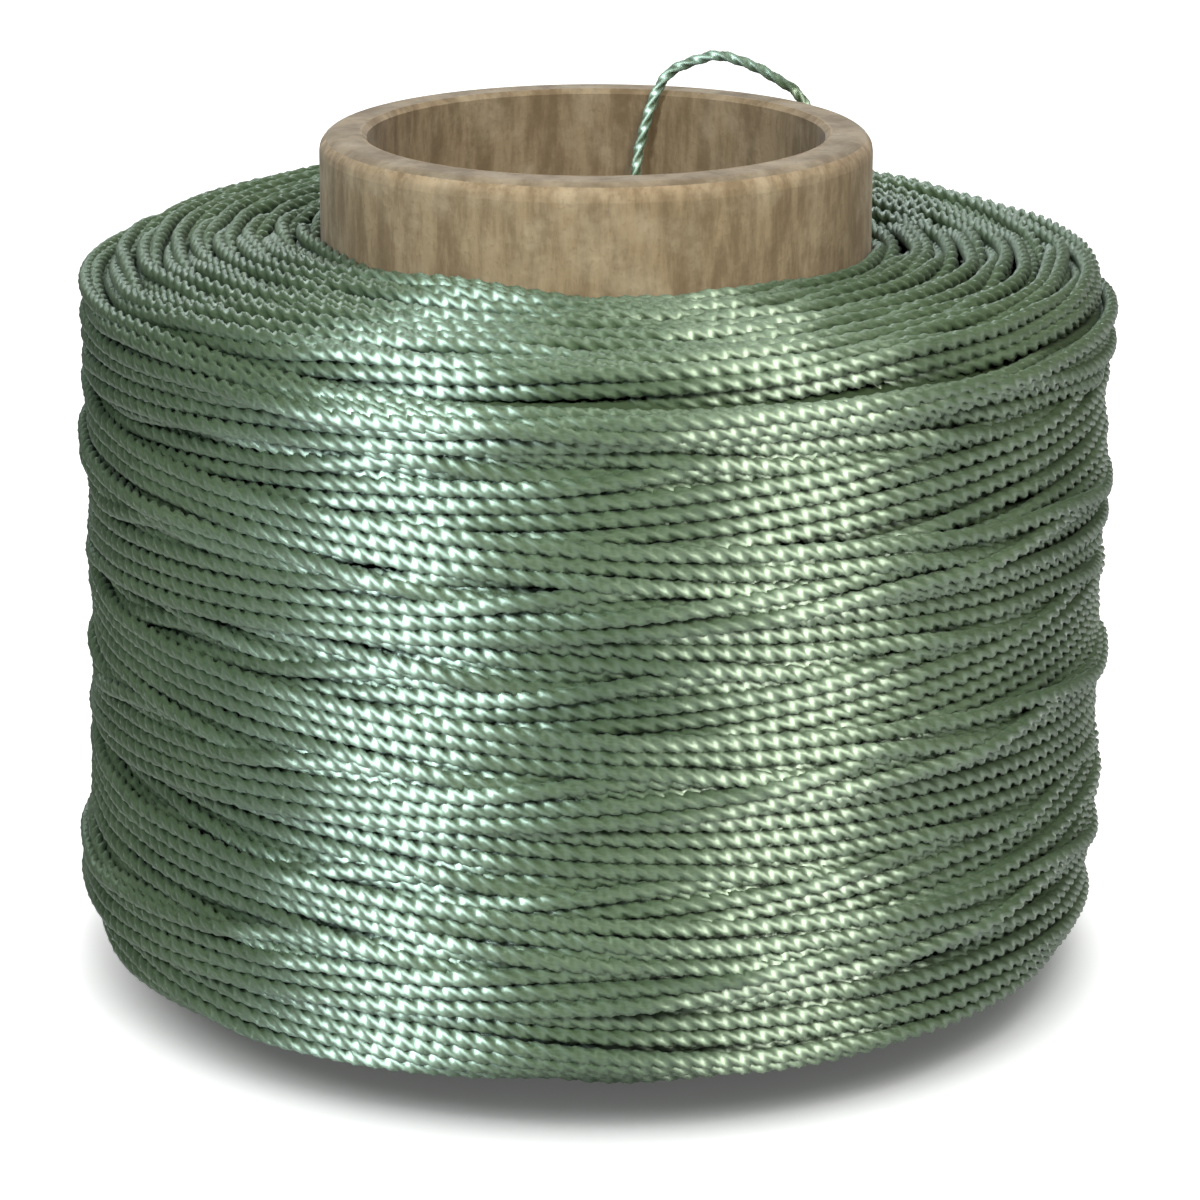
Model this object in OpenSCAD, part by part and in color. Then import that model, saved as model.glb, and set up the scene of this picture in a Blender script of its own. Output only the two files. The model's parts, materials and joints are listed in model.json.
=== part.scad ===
// Tube-wound fishing line: a package of twisted nylon line on a spiral paper core.
// The axis is Z and the core's lower rim stands on Z = 0. All sizes are in millimetres.

/* [Paper core] */
// Bore of the paper core
bore_d = 38.1; // [30:0.1:52]
// Wall of the paper core, all plies together
core_wall = 3.95; // [3:0.05:6]
// Length of the paper core
core_length = 71; // [60:0.5:110]
// Thickness of the liner ply that faces the bore
liner_t = 0.6; // [0.3:0.05:0.8]
// Thickness of the cover ply on the outside
cover_t = 0.55; // [0.3:0.05:0.8]
// Radius worn on the upper rim's outer edge
rim_round = 1.5; // [0.5:0.1:2.9]
// Chamfer left by the knife on the upper rim's inner edge
mouth_chamfer = 0.4; // [0.1:0.05:0.5]
// Chamfer left by the knife on the lower rim's outer edge
foot_chamfer = 0.4; // [0.1:0.05:0.5]

/* [Wound package] */
// Outside diameter of the wound package
package_d = 86.4; // [70:0.2:110]
// Length of core left bare under the package
bare_below = 2.5; // [1:0.1:8]
// Length of core left bare above the package's shoulder
bare_above = 8.9; // [5:0.1:16]
// Radius of the package's upper edge
upper_edge = 4; // [3:0.1:8]
// Radius of the package's lower edge
lower_edge = 4.2; // [3:0.1:8]
// Rise of the upper shoulder from its edge to the core
shoulder_rise = 0.6; // [0:0.1:3]

/* [Line] */
// Diameter of the twisted line
line_d = 1.2; // [0.8:0.05:1.4]
// Loops that stand for the outer layer of turns
layer_loops = 24; // [12:1:24]
// Space between the outer layer and the turns under it
layer_gap = 0.02; // [0.01:0.01:0.1]
// Part of the package's volume that is line
packing = 0.8; // [0.6:0.01:0.9]

/* [Hidden] */

body_plies = 4;
bore_r = bore_d / 2;
core_r = bore_r + core_wall;
body_ply_t = (core_wall - liner_t - cover_t) / body_plies;

package_r = package_d / 2;
line_r = line_d / 2;
package_z0 = bare_below;
edge_z = core_length - bare_above - shoulder_rise;

// Centres of the arcs that round the package's edges, as [radius, height]
lower_centre = [package_r - lower_edge, package_z0 + lower_edge];
upper_centre = [package_r - upper_edge, edge_z - upper_edge];

// The outer layer lies in a ledge that runs two line diameters further in than its last loops
lower_ledge_r = lower_centre[0] - 2 * line_d;
upper_ledge_r = upper_centre[0] - 2 * line_d;

loop_rings = 24;
loop_sides = 6;
loop_step = 360 / loop_rings;
// The straight stretches between rings pass nearer to the axis than the rings do
chord_share = cos(loop_step / 2);
mass_r = (package_r - line_r) * chord_share - line_r - layer_gap;
layer_depth = line_d + layer_gap;
start_angle = 105;
bend_steps = 3;

paper = [0.66, 0.57, 0.43];
paper_edge = [0.74, 0.67, 0.55];
line_green = [0.33, 0.44, 0.35];
line_light = [0.5, 0.6, 0.49];

// ---- Paper core ----

// Half section of the whole core, with its worn upper edge and its knife chamfers
module core_section() {
    difference() {
        union() {
            translate([bore_r, 0]) square([core_wall, core_length - rim_round]);
            translate([bore_r, 0]) square([core_wall - rim_round, core_length]);
            translate([core_r - rim_round, core_length - rim_round])
                circle(r = rim_round, $fn = 64);
        }
        polygon([
            [bore_r - 1, core_length + 1],
            [bore_r - 1, core_length - mouth_chamfer - 1],
            [bore_r + mouth_chamfer + 1, core_length + 1]
        ]);
        polygon([
            [core_r + 1, -1],
            [core_r + 1, foot_chamfer + 1],
            [core_r - foot_chamfer - 1, -1]
        ]);
    }
}

// The stretch of the core's wall between two radii
module core_ply(inner_r, outer_r) {
    rotate_extrude($fn = 180) intersection() {
        core_section();
        translate([inner_r, -1]) square([outer_r - inner_r, core_length + 2]);
    }
}

module core_liner_ply() {
    color(paper_edge) core_ply(bore_r, bore_r + liner_t);
}

module core_body_ply(k) {
    inner_r = bore_r + liner_t + (k - 1) * body_ply_t;
    color(k % 2 == 0 ? paper : paper_edge) core_ply(inner_r, inner_r + body_ply_t);
}

module core_cover_ply() {
    color(paper) core_ply(core_r - cover_t, core_r);
}

// ---- Wound package ----

// The turns under the outer layer, with a ledge at each end that the outer layer lies in
module wound_line_mass() {
    lower_r = lower_edge - layer_depth;
    upper_r = upper_edge - layer_depth;
    color(line_green) rotate_extrude($fn = 180) union() {
        translate([mass_r - lower_r, lower_centre[1]]) circle(r = lower_r, $fn = 64);
        translate([mass_r - upper_r, upper_centre[1]]) circle(r = upper_r, $fn = 64);
        polygon([
            [core_r, package_z0],
            [lower_ledge_r, package_z0],
            [lower_ledge_r, package_z0 + layer_depth],
            [mass_r - lower_r, package_z0 + layer_depth],
            [mass_r - lower_r, lower_centre[1]],
            [mass_r, lower_centre[1]],
            [mass_r, upper_centre[1]],
            [mass_r - upper_r, upper_centre[1]],
            [mass_r - upper_r, edge_z - layer_depth],
            [upper_ledge_r, edge_z - layer_depth],
            [upper_ledge_r, edge_z],
            [core_r, edge_z + shoulder_rise]
        ]);
    }
}

// ---- Line: a tube swept along points ----

function unit(v) = v / norm(v);
function at_angle(r, a, z) = [r * cos(a), r * sin(a), z];

// Direction of the path at each point
function directions(path) = let (last = len(path) - 1) [
    for (i = [0 : last])
        i == 0 ? unit(path[1] - path[0])
        : i == last ? unit(path[last] - path[last - 1])
        : unit(unit(path[i + 1] - path[i]) + unit(path[i] - path[i - 1]))
];

// A normal carried along the path with the least turning
function carried(path, first) = let (along = directions(path)) [
    for (i = 0, n = first; i < len(path); i = i + 1,
         n = i < len(path) ? unit(n - (n * along[i]) * along[i]) : n) n
];

// A closed tube along the path, whose rings have a corner on each point's normal
module tube(path, normals, radius, sides) {
    along = directions(path);
    rings = len(path);
    points = [
        for (i = [0 : rings - 1])
            let (n = unit(normals[i] - (normals[i] * along[i]) * along[i]), b = cross(along[i], n))
            for (j = [0 : sides - 1]) let (a = 360 * j / sides)
                path[i] + radius * (cos(a) * n + sin(a) * b)
    ];
    walls = [
        for (i = [0 : rings - 2]) for (j = [0 : sides - 1])
            let (a = i * sides + j, b = i * sides + (j + 1) % sides)
            for (face = [[a, a + sides, b], [b, a + sides, b + sides]]) face
    ];
    first_end = [for (j = [1 : sides - 2]) [0, j, j + 1]];
    top = (rings - 1) * sides;
    last_end = [for (j = [1 : sides - 2]) [top, top + j + 1, top + j]];
    polyhedron(points, concat(first_end, walls, last_end), convexity = 10);
}

// ---- Outer layer of turns ----

lower_path_r = lower_edge - line_r;
upper_path_r = upper_edge - line_r;
lower_run = lower_path_r * PI / 2;
side_run = upper_centre[1] - lower_centre[1];
upper_run = upper_path_r * PI / 2;
whole_run = lower_run + side_run + upper_run;

// Angle of the package's outward normal, from level, at a distance along the half section
function normal_angle(s) =
    s < lower_run ? -90 + s / lower_path_r * 180 / PI
    : s < lower_run + side_run ? 0
    : (s - lower_run - side_run) / upper_path_r * 180 / PI;

// The line's centre at that distance, as [radius, height]
function layer_point(s) = let (a = normal_angle(s))
    s < lower_run ? lower_centre + lower_path_r * [cos(a), sin(a)]
    : s < lower_run + side_run ? [package_r - line_r, lower_centre[1] + s - lower_run]
    : upper_centre + upper_path_r * [cos(a), sin(a)];

function layer_angle(i) = start_angle - loop_step * i;
layer_rings = layer_loops * loop_rings;
layer_path = [
    for (i = [0 : layer_rings]) let (p = layer_point(whole_run * i / layer_rings))
        at_angle(p[0], layer_angle(i), p[1])
];
layer_normals = [
    for (i = [0 : layer_rings]) let (a = normal_angle(whole_run * i / layer_rings))
        at_angle(cos(a), layer_angle(i), sin(a))
];

// The first end comes square out of the lower ledge, runs straight and bends into the turns
tuck_angle = start_angle + asin(line_d / lower_centre[0]);
tuck_out = at_angle(1, tuck_angle, 0);
tuck_along = [sin(tuck_angle), -cos(tuck_angle), 0];
tuck_from = at_angle(lower_ledge_r, tuck_angle, package_z0 + line_r);
tuck_path = [
    tuck_from,
    for (k = [0 : bend_steps - 1]) let (a = 90 * k / bend_steps)
        tuck_from + line_d * ((1 + sin(a)) * tuck_out + (1 - cos(a)) * tuck_along)
];

// The last end runs straight for one diameter, to the free tail
layer_end = layer_path[layer_rings];
end_angle = layer_angle(layer_rings);
end_along = [sin(end_angle), -cos(end_angle), 0];
layer_exit = layer_end + line_d * end_along;

turns_path = concat(tuck_path, layer_path, [layer_exit]);
turns_normals = concat([for (p = tuck_path) [0, 0, -1]], layer_normals, [[0, 0, 1]]);

module outer_turns() {
    color(line_green) tube(turns_path, turns_normals, line_r, loop_sides);
}

// ---- Free tail ----

// The tail climbs the ledge, crosses the shoulder, passes over the rim and hangs in the bore
tail_sides = 8;
tail_points = [
    [-6.2, 38.9, 61.1], [-3.4, 39.1, 61.5], [-0.7, 38.9, 61.9], [2, 38.2, 62.2],
    [4.9, 37, 62.3], [7.4, 35.3, 62.3], [9.8, 33.1, 62.4], [11.9, 30.5, 62.5],
    [13.7, 27.7, 62.6], [15.3, 24.7, 62.7], [16.6, 21.9, 62.8], [17.6, 19.4, 63],
    [18.4, 17.3, 63.9], [18.8, 16, 65.8], [18.7, 15.5, 68], [18.2, 15.4, 70.1],
    [17.1, 15.4, 71.6], [15.8, 15.6, 72.4], [14.4, 16, 73.2], [12.9, 16.4, 73.8],
    [11.5, 16.8, 74.2], [10.2, 17.1, 74.3], [8.9, 17.4, 73.9], [7.6, 17.6, 73.4],
    [6.4, 17.7, 72.7], [5.5, 17.6, 71.5], [4.8, 17.4, 69.9], [4.3, 17.2, 68.2],
    [3.8, 17, 66.3], [3.5, 16.6, 64.4], [3.3, 16.2, 62.2], [3.1, 15.9, 59.8],
    [3, 15.8, 57.2], [3, 15.8, 54.6], [3.1, 15.9, 52], [3.2, 16, 49.3],
    [3.4, 16.1, 46.6]
];
tail_path = concat([layer_exit, layer_exit + line_d * end_along], tail_points);
tail_normals = carried(tail_path, [0, 0, 1]);

module line_tail() {
    color(line_light) tube(tail_path, tail_normals, line_r, tail_sides);
}

// ---- What the sizes come to ----

// Least space between stretches of the line that are at least half a loop apart
function least_gap(path, apart, reach) = min([
    for (i = [0 : len(path) - 1 - apart])
        for (j = [i + apart : min(i + reach, len(path) - 1)]) norm(path[i] - path[j])
]) - line_d;
function path_length(path) = len(path) < 2 ? 0
    : let (steps = [for (i = [1 : len(path) - 1]) norm(path[i] - path[i - 1])])
        steps * [for (s = steps) 1];

wound_volume = PI * (pow(package_r, 2) - pow(core_r, 2)) * (edge_z - package_z0);
echo(least_gap_between_loops_mm = least_gap(turns_path, loop_rings / 2, 2 * loop_rings));
echo(least_gap_of_tail_mm = least_gap(tail_path, 8, len(tail_path)));
echo(tail_length_mm = path_length(tail_path));
echo(wound_length_m = wound_volume * packing / (PI * pow(line_r, 2)) / 1000);

core_liner_ply();
core_body_ply(1);  // core_body_ply_1
core_body_ply(2);  // core_body_ply_2
core_body_ply(3);  // core_body_ply_3
core_body_ply(4);  // core_body_ply_4
core_cover_ply();
wound_line_mass();
outer_turns();
line_tail();
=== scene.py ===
"""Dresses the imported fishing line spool: a spiral paper core, a cross-wound package of
three-strand nylon line, and the line's free end looped into the bore."""

import json
import math

import bmesh
import bpy
import numpy as np
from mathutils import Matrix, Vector

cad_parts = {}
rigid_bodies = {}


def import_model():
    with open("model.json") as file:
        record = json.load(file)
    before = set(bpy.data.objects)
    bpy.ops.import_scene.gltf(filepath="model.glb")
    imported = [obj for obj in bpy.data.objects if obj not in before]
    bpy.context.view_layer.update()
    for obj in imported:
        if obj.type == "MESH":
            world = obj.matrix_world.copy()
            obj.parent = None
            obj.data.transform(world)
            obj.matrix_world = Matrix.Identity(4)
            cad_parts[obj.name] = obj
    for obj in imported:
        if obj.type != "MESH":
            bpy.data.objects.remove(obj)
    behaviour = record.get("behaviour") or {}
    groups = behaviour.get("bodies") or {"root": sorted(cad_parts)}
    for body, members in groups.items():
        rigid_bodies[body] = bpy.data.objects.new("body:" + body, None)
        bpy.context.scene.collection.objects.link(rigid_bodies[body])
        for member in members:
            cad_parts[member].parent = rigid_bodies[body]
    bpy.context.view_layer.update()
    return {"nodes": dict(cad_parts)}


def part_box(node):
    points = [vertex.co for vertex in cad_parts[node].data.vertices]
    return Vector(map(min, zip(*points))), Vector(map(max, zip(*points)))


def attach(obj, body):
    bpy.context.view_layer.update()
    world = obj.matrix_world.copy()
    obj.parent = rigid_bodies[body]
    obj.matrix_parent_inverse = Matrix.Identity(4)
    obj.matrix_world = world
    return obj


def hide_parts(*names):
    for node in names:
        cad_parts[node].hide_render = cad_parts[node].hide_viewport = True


bl_info = {
    "name": "Fishing line spool",
    "version": (1, 0, 0),
    "blender": (4, 5, 0),
    "location": "View3D > Sidebar > Line Spool",
    "description": "Models the windings, the free end and the paper core of a line spool",
    "category": "Object",
}

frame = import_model()
MM = 0.001
WHITE = (1, 1, 1, 1)

# ---------------------------------------------------------------- sizes and colours

CORE_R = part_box("core_cover_ply")[1].x

# The package's outline: arcs that round its edges, as radius, height and arc radius
UPPER_ARC = (0.0392, 0.0575, 0.0040)
LOWER_ARC = (0.0390, 0.0067, 0.0042)
SHOULDER_Z = 0.0615
SHOULDER_RISE = 0.0006  # from the shoulder's edge in to the core
FOOT_Z = 0.0025

# Route of the free end, from the last wound turn over the rim and down into the bore
LINE_EXIT = (-0.008987, 0.038175, 0.0609)
FREE_END_ROUTE = (
    LINE_EXIT, (-0.007828, 0.038485, 0.0609),
    (-0.0062, 0.0389, 0.0611), (-0.0034, 0.0391, 0.0615), (-0.0007, 0.0389, 0.0619),
    (0.0020, 0.0382, 0.0622), (0.0049, 0.0370, 0.0623), (0.0074, 0.0353, 0.0623),
    (0.0098, 0.0331, 0.0624), (0.0119, 0.0305, 0.0625), (0.0137, 0.0277, 0.0626),
    (0.0153, 0.0247, 0.0627), (0.0166, 0.0219, 0.0628), (0.0176, 0.0194, 0.0630),
    (0.0184, 0.0173, 0.0639), (0.0188, 0.0160, 0.0658), (0.0187, 0.0155, 0.0680),
    (0.0182, 0.0154, 0.0701), (0.0171, 0.0154, 0.0716), (0.0158, 0.0156, 0.0724),
    (0.0144, 0.0160, 0.0732), (0.0129, 0.0164, 0.0738), (0.0115, 0.0168, 0.0742),
    (0.0102, 0.0171, 0.0743), (0.0089, 0.0174, 0.0739), (0.0076, 0.0176, 0.0734),
    (0.0064, 0.0177, 0.0727), (0.0055, 0.0176, 0.0715), (0.0048, 0.0174, 0.0699),
    (0.0043, 0.0172, 0.0682), (0.0038, 0.0170, 0.0663), (0.0035, 0.0166, 0.0644),
    (0.0033, 0.0162, 0.0622), (0.0031, 0.0159, 0.0598), (0.0030, 0.0158, 0.0572),
    (0.0030, 0.0158, 0.0546), (0.0031, 0.0159, 0.0520), (0.0032, 0.0160, 0.0493),
    (0.0034, 0.0161, 0.0466),
)
EXIT_ANGLE = math.atan2(LINE_EXIT[1], LINE_EXIT[0])
EXIT_NORMAL = (-0.23, 0.97, 0)  # away from the core where the free end starts
SLACKENING = 0.020  # length over which the line goes from its wound girth to its free one


class SpoolSizes(bpy.types.PropertyGroup):
    """Sizes of the line and of the way it is wound"""

    line_d: bpy.props.FloatProperty(
        name="Line diameter", description="Diameter over the crests of the three strands",
        default=0.0012, unit="LENGTH")
    lay: bpy.props.FloatProperty(
        name="Lay", description="Length of line in which a strand goes once round",
        default=0.0048, unit="LENGTH")
    winding_ratio: bpy.props.FloatProperty(
        name="Winding ratio", description="Turns of the core in one there-and-back of the guide",
        default=6.92)
    mean_r: bpy.props.FloatProperty(
        name="Package radius", description="Mean radius over the outer turns when winding stops",
        default=0.04275, unit="LENGTH")
    seed: bpy.props.IntProperty(
        name="Seed", description="Seed of the small unevenness of the winding", default=7)


class SpoolColours(bpy.types.PropertyGroup):
    """Colours of the line and of the paper"""

    line: bpy.props.FloatVectorProperty(
        name="Line", description="Main colour of the nylon line", subtype="COLOR", size=4,
        default=(0.054, 0.084, 0.039, 1.0))
    line_pale: bpy.props.FloatVectorProperty(
        name="Line, pale", description="Colour of the paler filaments", subtype="COLOR", size=4,
        default=(0.100, 0.142, 0.074, 1.0))
    line_dark: bpy.props.FloatVectorProperty(
        name="Line, dark", description="Colour of the darker filaments", subtype="COLOR", size=4,
        default=(0.019, 0.040, 0.015, 1.0))
    board: bpy.props.FloatVectorProperty(
        name="Board", description="Main colour of the core board", subtype="COLOR", size=4,
        default=(0.360, 0.265, 0.160, 1.0))
    board_dark: bpy.props.FloatVectorProperty(
        name="Board, dark", description="Colour of the board's darker fibres", subtype="COLOR",
        size=4, default=(0.215, 0.150, 0.085, 1.0))
    board_pale: bpy.props.FloatVectorProperty(
        name="Board, pale", description="Colour of the board where it is rubbed", subtype="COLOR",
        size=4, default=(0.520, 0.420, 0.285, 1.0))


# ---------------------------------------------------------------- helpers

def deselect_all():
    """Leaves edit mode and selects nothing."""
    if bpy.context.object and bpy.context.object.mode != "OBJECT":
        bpy.ops.object.mode_set(mode="OBJECT")
    bpy.ops.object.select_all(action="DESELECT")


def feed(tree, socket, value):
    """Links an output socket to the input socket, or stores a plain value in it."""
    if isinstance(value, bpy.types.NodeSocket):
        tree.links.new(value, socket)
    else:
        socket.default_value = value


def add_node(tree, kind, inputs=None, **settings):
    """A node with its settings, and with its inputs fed by their names or numbers."""
    node = tree.nodes.new(kind)
    for name, value in settings.items():
        setattr(node, name, value)
    for key, value in (inputs or {}).items():
        feed(tree, node.inputs[key], value)
    return node


def maths(tree, operation, a, b=0.0):
    """Result of a Math node."""
    return add_node(tree, "ShaderNodeMath", {0: a, 1: b}, operation=operation).outputs[0]


def ramp(tree, value, low, high, to_low=0.0, to_high=1.0):
    """A value that goes smoothly from to_low to to_high while the given one goes from low to
    high."""
    inputs = {"Value": value, "From Min": low, "From Max": high, "To Min": to_low,
              "To Max": to_high}
    node = add_node(tree, "ShaderNodeMapRange", inputs, interpolation_type="SMOOTHSTEP")
    return node.outputs[0]


def noise(tree, place, scale=1.0, detail=2.0, roughness=0.5):
    """Value of a Noise Texture node."""
    inputs = {"Vector": place, "Scale": scale, "Detail": detail, "Roughness": roughness}
    return add_node(tree, "ShaderNodeTexNoise", inputs).outputs[0]


def mix_colours(tree, share, a, b):
    """A colour between a and b. A Mix node has its sockets for colours after the others."""
    node = tree.nodes.new("ShaderNodeMix")
    node.data_type = "RGBA"
    for number, value in ((0, share), (6, a), (7, b)):
        feed(tree, node.inputs[number], value)
    return node.outputs[2]


def add_bump(tree, shader, height, strength, distance):
    """Feeds the shader's normal from a height."""
    inputs = {"Strength": strength, "Distance": distance, "Height": height}
    bump = add_node(tree, "ShaderNodeBump", inputs)
    tree.links.new(bump.outputs[0], shader.inputs["Normal"])


def new_material(name, values):
    """A material, its nodes and its shader, with the values that are constant over it."""
    material = bpy.data.materials.new(name)
    material.use_nodes = True
    tree = material.node_tree
    tree.nodes.clear()
    shader = add_node(tree, "ShaderNodeBsdfPrincipled", values)
    add_node(tree, "ShaderNodeOutputMaterial", {"Surface": shader.outputs["BSDF"]})
    return material, tree, shader


def new_group(name, inputs, outputs):
    """A node group, and the nodes that stand in it for its inputs and its outputs."""
    group = bpy.data.node_groups.new(name, "ShaderNodeTree")
    for in_out, sockets in (("INPUT", inputs), ("OUTPUT", outputs)):
        for socket, kind in sockets.items():
            group.interface.new_socket(socket, in_out=in_out, socket_type="NodeSocket" + kind)
    return group, group.nodes.new("NodeGroupInput"), group.nodes.new("NodeGroupOutput")


def give_material(obj, material):
    """Makes the material the object's only one."""
    obj.data.materials.clear()
    obj.data.materials.append(material)


def mesh_object(name, points, faces, uv, normals):
    """A smooth mesh object from its points, arrays of faces, and the faces' corners' places
    along the line."""
    mesh = bpy.data.meshes.new(name)
    sizes = np.concatenate([np.full(len(f), f.shape[1]) for f in faces])
    corners = np.concatenate([f.ravel() for f in faces])
    starts = np.concatenate([[0], np.cumsum(sizes)[:-1]])
    mesh.vertices.add(len(points))
    mesh.vertices.foreach_set("co", points.astype(np.float32).ravel())
    mesh.loops.add(len(corners))
    mesh.loops.foreach_set("vertex_index", corners.astype(np.int32))
    mesh.polygons.add(len(sizes))
    mesh.polygons.foreach_set("loop_start", starts.astype(np.int32))
    mesh.polygons.foreach_set("loop_total", sizes.astype(np.int32))
    layer = mesh.uv_layers.new(name="along_line")
    layer.data.foreach_set("uv", uv.astype(np.float32).ravel())
    mesh.update(calc_edges=True)
    mesh.polygons.foreach_set("use_smooth", np.ones(len(sizes), bool))
    mesh.normals_split_custom_set_from_vertices(normals)
    obj = bpy.data.objects.new(name, mesh)
    bpy.context.scene.collection.objects.link(obj)
    return obj


# ---------------------------------------------------------------- twisted line

STRANDS = 3
# Section of the touching strands: distance from the line's middle, as a share of its radius
STRAND_SECTION = (1.05, 0.92, 0.56, 0.92) * STRANDS
SECTION_SIDES = len(STRAND_SECTION)
# The filaments lie along the line although the strands go round it, so the light on them
# shows that much of the line's own straight form
STRAIGHT_SHARE = 0.75
# Height and width of the line where it is squeezed in the package and where it hangs free
WOUND_GIRTH = (1.05, 1.20)
FREE_GIRTH = (0.80, 0.80)
# Rings of the mesh in one lay
WOUND_RINGS = 8
FREE_RINGS = 10
CURVE_PARTS = 12  # parts into which the curve between two points of a route is cut


def unit_rows(a):
    """The rows of an array as unit vectors."""
    return a / np.linalg.norm(a, axis=-1, keepdims=True)


def twisted_line(name, runs, line_r, lay):
    """One mesh of closed lengths of laid line. A run is points, outward normals, the distance
    of each point along the whole line, and its height and width as shares of the line's."""
    angles = np.arange(SECTION_SIDES) * 2 * math.pi / SECTION_SIDES
    section = np.array(STRAND_SECTION) * line_r
    side = np.arange(SECTION_SIDES)
    after = (side + 1) % SECTION_SIDES
    points, normals, quads, ends, uvs, end_uvs = [], [], [], [], [], []
    base = 0
    for path, outward, along, girth in runs:
        count = len(path)
        direction = unit_rows(np.gradient(path, axis=0))
        normal = unit_rows(outward - (outward * direction).sum(1, keepdims=True) * direction)
        across = np.cross(direction, normal)
        turn = angles[None, :] + (2 * math.pi * along / lay)[:, None]
        ring = (path[:, None, :]
                + (np.cos(turn) * section * girth[:, :1])[:, :, None] * normal[:, None, :]
                + (np.sin(turn) * section * girth[:, 1:])[:, :, None] * across[:, None, :])
        around = np.roll(ring, -1, 1) - np.roll(ring, 1, 1)
        straight = unit_rows(np.cross(around, direction[:, None, :]))
        laid = unit_rows(np.cross(around, np.gradient(ring, axis=0)))
        normals.append(unit_rows(STRAIGHT_SHARE * straight + (1 - STRAIGHT_SHARE) * laid)
                       .reshape(-1, 3))
        points.append(ring.reshape(-1, 3))
        first = base + np.arange(count - 1)[:, None] * SECTION_SIDES
        second = first + SECTION_SIDES
        quads.append(np.stack([first + side, first + after, second + after, second + side],
                              -1).reshape(-1, 4))
        v = along / lay
        u0 = np.broadcast_to(side / SECTION_SIDES, (count - 1, SECTION_SIDES))
        u1 = u0 + 1 / SECTION_SIDES
        v0 = np.broadcast_to(v[:-1, None], u0.shape)
        v1 = np.broadcast_to(v[1:, None], u0.shape)
        uvs.append(np.stack([u0, v0, u1, v0, u1, v1, u0, v1], -1).reshape(-1, 2))
        ends.append(base + side[None, ::-1])
        ends.append(base + (count - 1) * SECTION_SIDES + side[None, :])
        end_uvs += [np.stack([side / SECTION_SIDES, np.full(SECTION_SIDES, v[0])], -1)] * 2
        base += count * SECTION_SIDES
    return mesh_object(name, np.concatenate(points), [np.concatenate(quads), np.concatenate(ends)],
                       np.concatenate(uvs + end_uvs), np.concatenate(normals))


def smooth_route(points, step):
    """Points about a step apart on the curve through the route's points, and their distances."""
    p = np.array(points, float)
    p = np.vstack([2 * p[0] - p[1], p, 2 * p[-1] - p[-2]])
    fine = []
    share = np.linspace(0, 1, CURVE_PARTS, endpoint=False)[:, None]
    for a, b, c, d in zip(p[:-3], p[1:-2], p[2:-1], p[3:]):
        fine.append(0.5 * (2 * b + (c - a) * share + (2 * a - 5 * b + 4 * c - d) * share ** 2
                           + (3 * b - a - 3 * c + d) * share ** 3))
    fine = np.vstack(fine + [p[-2]])
    run = distances(fine)
    at = np.linspace(0, run[-1], int(round(run[-1] / step)) + 1)
    return np.stack([np.interp(at, run, fine[:, k]) for k in range(3)], 1), at


def distances(path):
    """Distance of each point of a path from its start, along the path."""
    return np.concatenate([[0], np.cumsum(np.linalg.norm(np.diff(path, axis=0), axis=1))])


def carried_normals(path, first):
    """A normal carried along the path with the least turning."""
    direction = unit_rows(np.gradient(path, axis=0))
    normals = np.empty_like(path)
    n = np.array(first, float)
    for i, d in enumerate(direction):
        n = n - (n @ d) * d
        n /= np.linalg.norm(n)
        normals[i] = n
    return normals


# ---------------------------------------------------------------- winding the package

# The winding is worked out in mm, and in steps of a turn of the core. The package's surface is
# a table of radii, with a column for each step of a turn and a row for each cell of its height
STEPS = 720  # in one turn
CELL = 0.1  # height of a cell
ROWS = 660
COVERED = np.arange(-7, 8)  # cells that the line may cover, counted from its middle
BLOCK = 240  # steps that are wound at a time
OVERLAP = 60  # steps at a block's ends that neighbouring blocks share
MOST_TURNS = 900  # more than the package takes

# Travel of the guide that lays the line
EDGE_MARGIN = 0.6  # between the line's middle and the package's outline
GUIDE_TURN = 0.012  # share of its cycle over which the guide turns round
NEAR_FOOT, NEAR_TOP = 0.07, 0.93  # places, from 0 to 1, past which the turns are less even
# Unevenness of its height, of its height near the edges, and of its pace: steps over which it
# changes, and size in mm or in cycles
UNEVEN_HEIGHT = ((150, 0.05), (900, 0.06))
UNEVEN_EDGES = (300, 0.5)
UNEVEN_PACE = (STEPS * 7, 0.0004)
EDGE_RUN = 248.75  # degrees that the last turn runs along the upper edge, before the free end

# The way the line comes to rest
SLIDES = np.arange(-6, 7) * CELL  # ways up or down that it may slide
SLIDE_COST = 0.35  # radius that a slide of 1 mm has to gain
SLIDE_SOFTNESS = 0.05  # gain in radius that decides between two slides
SLIDE_WINDOW, PATH_WINDOW = 33, 61  # steps over which its stiffness evens slides and path
SPANS = (24, 12, 6, 3, 2, 1, 3, 6)  # steps to each side between which it is drawn straight
CROSSING = np.array([1, 2, 3, 4, 3, 2, 1]) / 16  # weights that round it over another turn
PRESS = 0.06  # how far it sinks into what lies under it
JOIN_FADE = 25.0  # steps over which a block leaves the end of the one before
FLAT_FROM = 40 * STEPS  # step from which the tension flattens the package
FLATTENING = 0.7  # share of a turn's unevenness that is left then
MEAN_FADE = 0.25  # weight of a block in the running mean of the radius
FULL_TEST = 10 * BLOCK  # steps from one test of whether the package is full to the next
FULL_ROWS = slice(120, 520)  # rows whose mean radius tells it

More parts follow.
